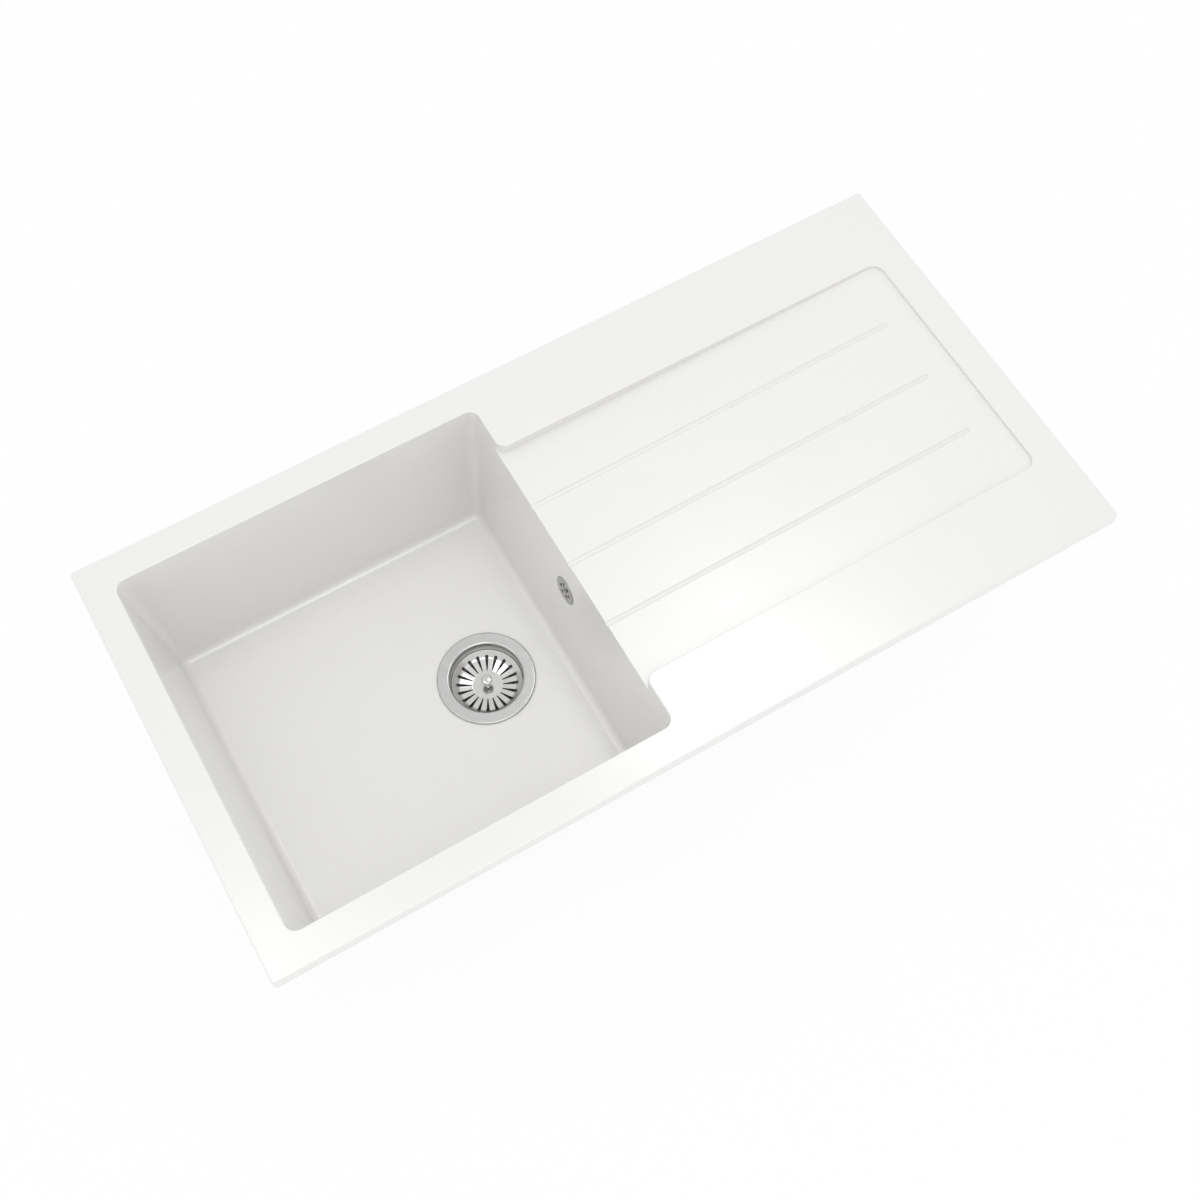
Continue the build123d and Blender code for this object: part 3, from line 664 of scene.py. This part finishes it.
def makeBasket(size):
    half = size["sheet"] / 2
    rimLine = size["rim"] - size["bead"]
    discLine = size["discTop"] - half
    patchInner, patchOuter = size["slotted"]
    centre = arcCorners(
        [
            (size["bore"], discLine),
            (size["disc"], discLine),
            (size["cone"], size["coneDrop"]),
            (rimLine - size["rimWidth"], size["rimDrop"]),
            (rimLine, size["rimDrop"]),
        ],
        [2 * size["sheet"], size["coneBend"], half],
        steps=10,
    )
    top = offsetLine(centre, half)
    under = offsetLine(centre, -half)
    beadFrom, beadTo = size["beadAngles"]
    beadSteps = 20
    bead = [
        Vector((rimLine + size["bead"] * math.cos(a), size["rimDrop"] + size["bead"] * math.sin(a)))
        for a in (
            math.radians(beadFrom + (beadTo - beadFrom) * k / beadSteps) for k in range(beadSteps + 1)
        )
    ]
    nearest = patchOuter + 0.05   # closer points would make slivers
    walls = []
    for line, end in ((top, bead[0]), (under, bead[-1])):
        start = Vector((patchOuter, heightOn(line, patchOuter)))
        walls.append([start] + [p for p in line if nearest < p.x < end.x])
    rimStrip = walls[0] + bead + walls[1][::-1]
    hubStrip = [
        Vector((patchInner, discLine - half)),
        Vector((size["bore"], discLine - half)),
        Vector((size["bore"], discLine + half)),
        Vector((size["discHold"], discLine + half)),
        Vector((patchInner, discLine + half)),
    ]
    steps = (8, 20)
    slot = slotLoop(
        size["slotInner"] + size["tipHalf"], size["tipHalf"],
        size["slotOuter"] - size["slotHalf"], size["slotHalf"], *steps,
    )
    return holedSector(
        [rimStrip, hubStrip], size["slots"], size["slotted"], steps, slot,
        (lambda radius: heightOn(top, radius), lambda radius: heightOn(under, radius)), size["slotLip"],
    )


addPiece(
    "strainerBasket",
    ringMesh(
        makeBasket(basketSizes), "strainerBasket", basketSizes["slots"], wasteSteel, wastePlace,
        math.pi / basketSizes["slots"],
    ),
    wasteSteel, "basket", "polished_steel", "strainer_basket",
)
print("strainer basket made")


# basket knob: domed cap on a slim neck with a flat foot
knobSizes = {
    "bore": 2.05, "boreTop": -7.9, "neck": 2.5, "neckRound": 0.4,
    "foot": 3.4, "footLow": -19.0, "footHeight": 0.5, "footEdge": 0.15, "footRound": 0.2,
    "cap": 6.2, "capLow": -7.6, "capRound": 1.3, "top": -3.0, "domeRadius": 30.0, "domeReach": 4.6,
}


def makeKnob(size):
    domeCentre = size["top"] - size["domeRadius"]
    domeSteps = 16
    dome = [
        Vector((x, domeCentre + math.sqrt(size["domeRadius"] ** 2 - x ** 2)))
        for x in (size["domeReach"] * (1 - k / domeSteps) for k in range(domeSteps + 1))
    ]
    shoulder = dome[0].y - (size["cap"] - size["domeReach"]) * size["domeReach"] / size["domeRadius"]
    footTop = size["footLow"] + size["footHeight"]
    line = arcCorners(
        [
            (0.0, size["boreTop"]),
            (size["bore"], size["boreTop"]),
            (size["bore"], size["footLow"]),
            (size["foot"], size["footLow"]),
            (size["foot"], footTop),
            (size["neck"], footTop + size["footHeight"]),
            (size["neck"], size["capLow"]),
            (size["cap"], size["capLow"] + size["capRound"]),
            (size["cap"], shoulder),
            dome[0],
        ],
        [0.0, 0.0, size["footEdge"], size["footRound"], size["neckRound"]] + [size["capRound"]] * 3,
        steps=8,
    )
    return turnStrips([line + dome[1:]], steps=64)


addPiece(
    "basketKnob",
    plainMesh(makeKnob(knobSizes), "basketKnob", wastePlace, sharp=40.0),
    wasteSteel, "basket", "polished_steel", "basket_knob",
)
print("basket knob made")


# overflow cover: round plate with a soft edge, six holes and a sunk screw
coverSizes = {
    "radius": 17.5, "height": 0.75, "edge": 0.4, "backEdge": 0.15,
    "holes": 6, "holeRadius": 2.4, "holeCircle": 8.4, "holeLip": 0.25,
    "drilled": (5.0, 11.8),   # radii of the ring that the holes are in
    "sinkRadius": 3.6,        # of the cone that holds the screw's head
}


def makeCover(size):
    patchInner, patchOuter = size["drilled"]
    edgeStrip = arcCorners(
        [
            (patchOuter, size["height"]),
            (size["radius"], size["height"]),
            (size["radius"], 0.0),
            (patchOuter, 0.0),
        ],
        [size["edge"], size["backEdge"]],
        steps=8,
    )
    hubStrip = [
        Vector((patchInner, 0.0)),
        Vector((size["sinkRadius"] - size["height"], 0.0)),
        Vector((size["sinkRadius"], size["height"])),
        Vector((patchInner, size["height"])),
    ]
    steps = (16, 8)
    return holedSector(
        [edgeStrip, hubStrip], size["holes"], size["drilled"], steps,
        roundHoleLoop(size["holeCircle"], size["holeRadius"], *steps),
        (lambda radius: size["height"], lambda radius: 0.0), size["holeLip"],
    )


addPiece(
    "overflowCover",
    ringMesh(makeCover(coverSizes), "overflowCover", coverSizes["holes"], shadedCoverSteel, overflowPlace),
    shadedCoverSteel, "sink", "polished_steel", "overflow_cover",
)
print("overflow cover made")


# outlet tube: slim end in the waste body's neck, threaded end below it, spider for the clamp bolt
outletSizes = {
    "top": -64.0, "step": -74.0, "end": -98.0, "slim": 22.9, "crest": 23.9, "root": 22.75, "bore": 19.5,
    "chamfer": 1.0, "edge": 0.3, "rootRound": 0.2, "runIn": 2.6, "runInSlope": 1.0,
    "hub": 8.5, "hubBore": 6.05, "hubRound": 0.5, "spiderHeight": 10.0,
    "arms": 3, "armHalf": 1.75, "armRound": 0.6, "armSunk": 0.6,
}
threadSizes = {
    "pitch": 2.309, "start": 1.5, "stop": 0.9,   # start and stop are gaps at the thread's ends
    "footShare": 0.92, "crestShare": 0.3,        # of the pitch
    "sunk": 0.06,                                # the ridge's foot in the tube
}


def makeOutlet(size):
    edge, rootRound, hubRound = size["edge"], size["rootRound"], size["hubRound"]
    tube = arcCorners(
        [
            (size["bore"], size["end"]),
            (size["root"] - size["chamfer"], size["end"]),
            (size["root"], size["end"] + size["chamfer"]),
            (size["root"], size["step"] - size["runIn"]),
            (size["crest"], size["step"] - size["runIn"] + size["runInSlope"]),
            (size["crest"], size["step"]),
            (size["slim"], size["step"]),
            (size["slim"], size["top"]),
            (size["bore"], size["top"]),
            (size["bore"], size["end"]),
        ],
        [edge, edge, rootRound, rootRound, edge, 0.0, edge, edge],
        steps=3,
    )
    low = size["top"] - size["spiderHeight"]
    hub = arcCorners(
        [
            (size["hubBore"], low), (size["hub"], low), (size["hub"], size["top"]),
            (size["hubBore"], size["top"]), (size["hubBore"], low),
        ],
        [hubRound, hubRound, edge],
        steps=3,
    )
    return turnStrips([tube, hub], steps=96)


def makeArm(size):
    # one bar of the spider, with rounded top and bottom edges
    low, high, half = size["top"] - size["spiderHeight"], size["top"], size["armHalf"]
    section = arcCorners(
        [(0, low), (half, low), (half, high), (-half, high), (-half, low), (0, low)],
        [size["armRound"]] * 4,
        steps=3,
    )[:-1]
    radii = (size["hub"] - size["armSunk"], size["bore"] + size["armSunk"])
    return prism(*([(radius, p.x, p.y) for p in section] for radius in radii))


def threadTree(name, stepsPerTurn):
    # a ridge that climbs round Z: spiral path with a trapezium swept along it
    inputs = {
        "Blank": "Geometry", "Root Radius": "Float", "Ridge Height": "Float", "Foot Width": "Float",
        "Crest Width": "Float", "Turns": "Float", "Rise": "Float", "Low End": "Vector",
        "Finish": "Material",
    }
    tree, sockets = newTree(name, inputs, "Thread")
    source = addNode(tree, "NodeGroupInput")
    path = addNode(tree, "GeometryNodeCurveSpiral")
    lean = addNode(tree, "GeometryNodeSetCurveNormal", mode="Z_UP")
    outline = addNode(tree, "GeometryNodeCurvePrimitiveQuadrilateral", mode="TRAPEZOID")
    turned = addNode(tree, "GeometryNodeTransform")
    swept = addNode(tree, "GeometryNodeCurveToMesh")
    moved = addNode(tree, "GeometryNodeTransform")
    real = addNode(tree, "GeometryNodeRealizeInstances")
    finish = addNode(tree, "GeometryNodeSetMaterial")
    target = addNode(tree, "NodeGroupOutput")
    path.inputs["Resolution"].default_value = stepsPerTurn
    turned.inputs["Rotation"].default_value = (0, 0, math.pi / 2)
    swept.inputs["Fill Caps"].default_value = True
    link = tree.links.new
    link(source.outputs["Turns"], path.inputs["Rotations"])
    link(source.outputs["Root Radius"], path.inputs["Start Radius"])
    link(source.outputs["Root Radius"], path.inputs["End Radius"])
    link(source.outputs["Rise"], path.inputs["Height"])
    link(path.outputs["Curve"], lean.inputs["Curve"])
    link(source.outputs["Foot Width"], outline.inputs["Bottom Width"])
    link(source.outputs["Crest Width"], outline.inputs["Top Width"])
    link(source.outputs["Ridge Height"], outline.inputs["Height"])
    link(outline.outputs["Curve"], turned.inputs["Geometry"])
    link(lean.outputs["Curve"], swept.inputs["Curve"])
    link(turned.outputs["Geometry"], swept.inputs["Profile Curve"])
    link(swept.outputs["Mesh"], moved.inputs["Geometry"])
    link(source.outputs["Low End"], moved.inputs["Translation"])
    link(moved.outputs["Geometry"], real.inputs["Geometry"])
    link(real.outputs["Geometry"], finish.inputs["Geometry"])
    link(source.outputs["Finish"], finish.inputs["Material"])
    link(finish.outputs["Geometry"], target.inputs["Thread"])
    return tree, sockets


threadRidge, threadSockets = threadTree("threadRidge", stepsPerTurn=72)


def makeThread(size, thread, material):
    ridge = size["crest"] - size["root"]
    rise = size["step"] - size["runIn"] - size["end"] - thread["start"] - thread["stop"]
    values = {
        "Root Radius": size["root"] + ridge / 2 - thread["sunk"],
        "Ridge Height": ridge,
        "Foot Width": thread["footShare"] * thread["pitch"],
        "Crest Width": thread["crestShare"] * thread["pitch"],
        "Turns": rise / thread["pitch"],
        "Rise": rise,
        "Low End": (0.0, 0.0, size["end"] + thread["start"]),
        "Finish": material,
    }
    return grownShape(bpy.data.meshes.new("threadBlank"), threadRidge, threadSockets, values)


addPiece(
    "outletTube",
    plainMesh(makeOutlet(outletSizes), "outletTube", wastePlace, sharp=40.0),
    greyMoulding, "sink", "moulded_plastic", "outlet_tube",
)
addPiece(
    "outletSpider",
    ringMesh(makeArm(outletSizes), "outletSpider", outletSizes["arms"], greyMoulding, wastePlace),
    greyMoulding, "sink", "moulded_plastic",
)
addPiece(
    "outletThread",
    plainMesh(makeThread(outletSizes, threadSizes, greyMoulding), "outletThread", wastePlace, sharp=30.0),
    greyMoulding, "sink", "moulded_plastic",
)
print("outlet tube made")


# waste gussets: moulded ribs between the waste body's flange and its chamber
gussetSizes = {
    "count": 12, "half": 1.1, "wall": 49.6, "reach": 54.6, "top": -15.9, "low": -30.0, "soft": 0.5,
    "nose": 1.5, "toe": 0.8,   # height of its outer end, width of its lower end
    "bedded": 0.1,             # edges this close to the wall stay sharp
}


def makeGusset(size):
    corners = (
        (size["wall"], size["top"]),
        (size["reach"], size["top"]),
        (size["reach"], size["top"] - size["nose"]),
        (size["wall"] + size["toe"], size["low"]),
        (size["wall"], size["low"]),
    )
    shape = prism(*([(r, y, z) for r, z in corners] for y in (-size["half"], size["half"])))
    clear = size["wall"] + size["bedded"]
    bmesh.ops.bevel(
        shape, geom=[e for e in shape.edges if all(v.co.x > clear for v in e.verts)],
        offset=size["soft"], segments=3, profile=0.5, affect="EDGES",
    )
    return shape


addPiece(
    "wasteGussets",
    ringMesh(
        makeGusset(gussetSizes), "wasteGussets", gussetSizes["count"], greyMoulding, wastePlace,
        math.pi / gussetSizes["count"],
    ),
    greyMoulding, "sink", "moulded_plastic",
)
print("waste gussets made")


# moulded, turned and punched pieces: the solid's own shape with its edges eased, width in millimetres
easedPieces = {
    "overflow_screw": ("overflowScrew", shadedCoverSteel, "sink", "polished_steel", 0.12),
    "basket_stem": ("basketStem", turnedSteel, "basket", "plain_steel", 0.25),
    "seal_washer": ("sealWasher", turnedSteel, "basket", "plain_steel", 0.3),
    "stem_nut": ("stemNut", turnedSteel, "basket", "plain_steel", 0.25),
    "clamp_bolt": ("clampBolt", turnedSteel, "sink", "plain_steel", 0.25),
    "flange_gasket": ("flangeGasket", blackRubber, "sink", "rubber", 0.4),
    "waste_gasket": ("wasteGasket", blackRubber, "sink", "rubber", 0.7),
    "basket_seal": ("basketSeal", blackRubber, "basket", "rubber", 0.7),
    "overflow_gasket": ("overflowGasket", blackRubber, "sink", "rubber", 0.5),
    "waste_body": ("wasteBody", greyMoulding, "sink", "moulded_plastic", 0.6),
    "overflow_elbow": ("overflowElbow", greyMoulding, "sink", "moulded_plastic", 0.7),
    "overflow_pipe": ("overflowPipe", greyPipe, "sink", "pipe_plastic", 0.4),
    "upper_pipe_nut": ("upperPipeNut", darkNut, "sink", "nut_plastic", 0.5),
    "lower_pipe_nut": ("lowerPipeNut", darkNut, "sink", "nut_plastic", 0.5),
}
easing = {"flatAngle": 0.3, "edgeAngle": 32.0, "segments": 3}   # angles in degrees


def easedMesh(node, name, width):
    shape = bmesh.new()
    shape.from_mesh(node.data)
    bmesh.ops.remove_doubles(shape, verts=shape.verts[:], dist=tiny)
    bmesh.ops.dissolve_limit(
        shape, angle_limit=math.radians(easing["flatAngle"]), verts=shape.verts[:], edges=shape.edges[:]
    )
    blank = bpy.data.meshes.new(name + "Blank")
    shape.to_mesh(blank)
    shape.free()
    if "custom_normal" in blank.attributes:
        blank.attributes.remove(blank.attributes["custom_normal"])
    blank.shade_smooth()
    carrier = newCarrier(blank)
    edge = carrier.modifiers.new("easedEdges", "BEVEL")
    edge.width = width * mm
    edge.segments = easing["segments"]
    edge.limit_method = "ANGLE"
    edge.angle_limit = math.radians(easing["edgeAngle"])
    edge.harden_normals = True
    mesh = finishedMesh(carrier)
    mesh.name = name
    return mesh


for nodeName, (pieceName, material, body, slotName, width) in easedPieces.items():
    addPiece(pieceName, easedMesh(cadNodes[nodeName], pieceName, width), material, body, slotName, nodeName)
print("eased pieces made:", len(easedPieces))

# nodes whose solids are right as they are
nodeFinishes = {
    "sink_body": compositeWhite,
    "clamp_insert": turnedBrass,
    "overflow_insert": turnedBrass,
    "stem_ring": blackRubber,
    "upper_pipe_seal": blackRubber,
    "lower_pipe_seal": blackRubber,
}
for nodeName, material in nodeFinishes.items():
    kept = cadNodes[nodeName]
    kept.data.materials.clear()
    kept.data.materials.append(material)
print("carried-over nodes finished")


# stage, light and camera

studio = {
    "floorZ": cadBox[0][2],
    "floorReach": 30.0,
    "floorColour": (0.93, 0.93, 0.93),
    "floorRough": 0.9,
    "floorGlow": 0.92,    # share of plain white in what the camera and mirrors see of the floor
    "worldLight": 0.94,   # what diffuse surfaces receive
    "lamps": {            # power in watts
        "drainerSoftbox": {
            "place": (2.62, 2.561, 9.289), "aim": (0.09, -0.215, 0.018),
            "power": 22.5, "wide": 1.98, "tall": 1.27,
        },
        "cornerSoftbox": {
            "place": (-1.287, 2.433, 9.622), "aim": (-0.47, -0.23, 0.018),
            "power": 13.5, "wide": 1.345, "tall": 1.345,
        },
        "topSoftbox": {
            "place": (-0.15, -0.5, 2.2), "aim": (0.0, 0.0, 0.0),
            "power": 7.0, "wide": 1.2, "tall": 1.2,
        },
        "frontStrip": {
            "place": (0.0, -2.2, 0.06), "aim": (0.0, -0.25, 0.0),
            "power": 2.8, "wide": 3.0, "tall": 0.35,
        },
    },
}
viewPoint = {
    "place": (-0.39546, -0.70754, 1.59448),
    "aim": (-0.0208, -0.0642, 0.018),
    "lens": 50.0,     # millimetres, as is the sensor's width
    "sensor": 36.0,
    "shiftX": -0.01,
}


def unlitRays(tree):
    # 1 for rays that show the background: camera, mirror and glass rays
    path = addNode(tree, "ShaderNodeLightPath")
    first = addNode(tree, "ShaderNodeMath", operation="MAXIMUM")
    second = addNode(tree, "ShaderNodeMath", operation="MAXIMUM")
    tree.links.new(path.outputs["Is Camera Ray"], first.inputs[0])
    tree.links.new(path.outputs["Is Glossy Ray"], first.inputs[1])
    tree.links.new(first.outputs[0], second.inputs[0])
    tree.links.new(path.outputs["Is Transmission Ray"], second.inputs[1])
    return second.outputs[0]


def makeFloor(values):
    # pale floor with the object's shadow, clear from below
    material, tree, shader = newMaterial("paleFloor")
    output = tree.nodes["Material Output"]
    shader.inputs["Base Color"].default_value = (*values["floorColour"], 1)
    shader.inputs["Roughness"].default_value = values["floorRough"]
    shader.inputs["Specular IOR Level"].default_value = 0.0
    glow = addNode(tree, "ShaderNodeEmission")
    glow.inputs["Color"].default_value = (1, 1, 1, 1)
    glow.inputs["Strength"].default_value = 1.0
    share = addNode(tree, "ShaderNodeMath", operation="MULTIPLY")
    tree.links.new(unlitRays(tree), share.inputs[0])
    share.inputs[1].default_value = values["floorGlow"]
    shown = addNode(tree, "ShaderNodeMixShader")
    tree.links.new(share.outputs[0], shown.inputs["Fac"])
    tree.links.new(shader.outputs["BSDF"], shown.inputs[1])
    tree.links.new(glow.outputs["Emission"], shown.inputs[2])
    clear = addNode(tree, "ShaderNodeBsdfTransparent")
    side = addNode(tree, "ShaderNodeNewGeometry")
    oneSided = addNode(tree, "ShaderNodeMixShader")
    tree.links.new(side.outputs["Backfacing"], oneSided.inputs["Fac"])
    tree.links.new(shown.outputs["Shader"], oneSided.inputs[1])
    tree.links.new(clear.outputs["BSDF"], oneSided.inputs[2])
    tree.links.new(oneSided.outputs["Shader"], output.inputs["Surface"])
    shape = bmesh.new()
    bmesh.ops.create_grid(shape, x_segments=1, y_segments=1, size=values["floorReach"])
    mesh = bpy.data.meshes.new("paleFloor")
    shape.to_mesh(mesh)
    shape.free()
    mesh.transform(Matrix.Translation((0, 0, values["floorZ"])))
    mesh.materials.append(material)
    floor = bpy.data.objects.new("paleFloor", mesh)
    scene.collection.objects.link(floor)


def makeWorld(values):
    world = bpy.data.worlds.new("studioWorld")
    scene.world = world
    world.use_nodes = True
    tree = world.node_tree
    tree.nodes.clear()
    output = addNode(tree, "ShaderNodeOutputWorld")
    sky = addNode(tree, "ShaderNodeBackground")
    sky.inputs["Color"].default_value = (1, 1, 1, 1)
    level = addNode(tree, "ShaderNodeMapRange")
    level.inputs["To Min"].default_value = values["worldLight"]
    level.inputs["To Max"].default_value = 1.0
    tree.links.new(unlitRays(tree), level.inputs["Value"])
    tree.links.new(level.outputs["Result"], sky.inputs["Strength"])
    tree.links.new(sky.outputs["Background"], output.inputs["Surface"])


def putAt(holder, values):
    scene.collection.objects.link(holder)
    holder.location = values["place"]
    toward = Vector(values["aim"]) - Vector(values["place"])
    holder.rotation_euler = toward.to_track_quat("-Z", "Y").to_euler()


def makeLamp(name, values):
    lamp = bpy.data.lights.new(name, "AREA")
    lamp.shape = "RECTANGLE"
    lamp.size = values["wide"]
    lamp.size_y = values["tall"]
    lamp.energy = values["power"]
    holder = bpy.data.objects.new(name, lamp)
    holder.visible_camera = False
    putAt(holder, values)


def makeCamera(values):
    lens = bpy.data.cameras.new("viewCamera")
    lens.lens = values["lens"]
    lens.sensor_width = values["sensor"]
    lens.shift_x = values["shiftX"]
    camera = bpy.data.objects.new("viewCamera", lens)
    putAt(camera, values)
    scene.camera = camera


makeFloor(studio)
makeWorld(studio)
for lampName, lampValues in studio["lamps"].items():
    makeLamp(lampName, lampValues)
makeCamera(viewPoint)
scene.view_settings.view_transform = "Standard"
print("stage, lamps and camera set")
